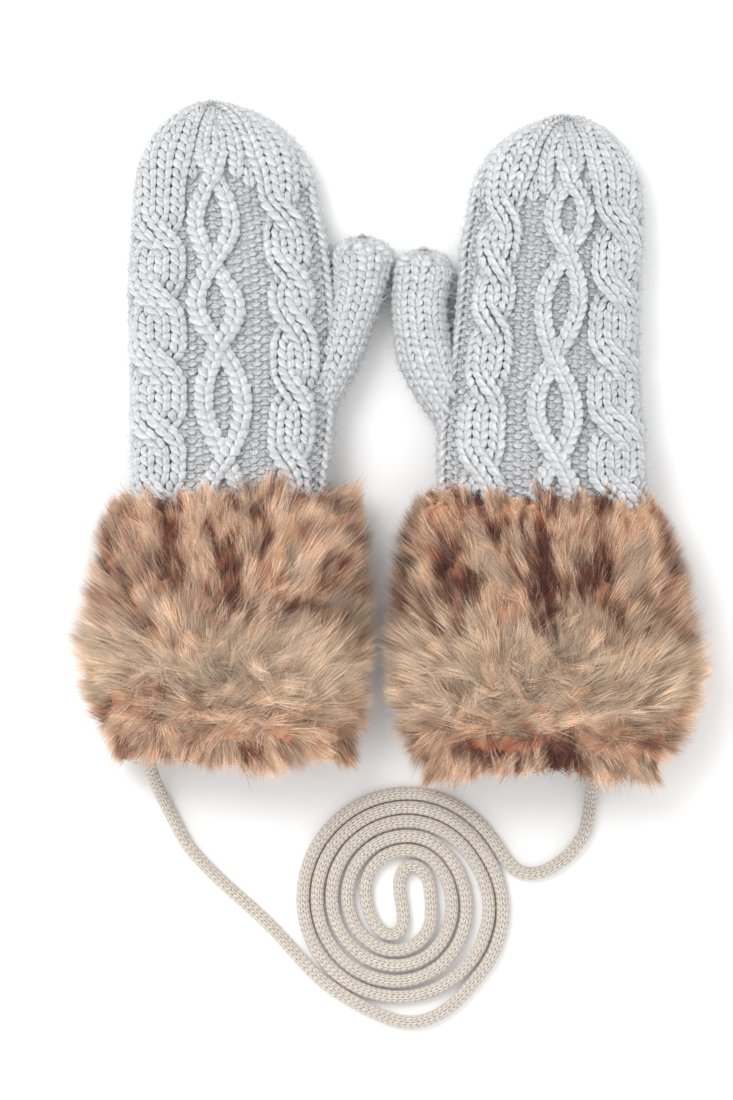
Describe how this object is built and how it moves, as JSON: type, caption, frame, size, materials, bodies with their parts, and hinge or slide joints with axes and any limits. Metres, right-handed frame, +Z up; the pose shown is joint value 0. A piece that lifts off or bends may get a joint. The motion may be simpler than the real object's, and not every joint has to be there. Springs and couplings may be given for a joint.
{
  "type": "pair of cable-knit mittens with fur cuffs, joined by a cord",
  "caption": "Pair of chunky cable-knit mittens with deep shaggy fur cuffs, joined from hem to hem by a long soft cord that lies in a flat spiral coil.",
  "frame": {"origin": "on the surface that the pair lies on, under the middle of the two mittens", "axes": "+X across the pair towards the right-hand mitten, +Y from the cuffs to the fingertips, +Z up, out of the backs of the hands"},
  "size_m": [0.2919, 0.4189, 0.064],
  "materials": {
    "knit": "matt chunky knit",
    "fur": "long soft pile, mottled",
    "cord": "matt knitted cord"
  },
  "bodies": {
    "root": {"left_wrist": "knit", "left_hand": "knit", "left_thumb": "knit", "left_fur_cuff": "fur", "right_wrist": "knit", "right_hand": "knit", "right_thumb": "knit", "right_fur_cuff": "fur", "cord_left_run": "cord", "cord_right_run": "cord", "cord_coil": "cord"}
  },
  "joints": []
}
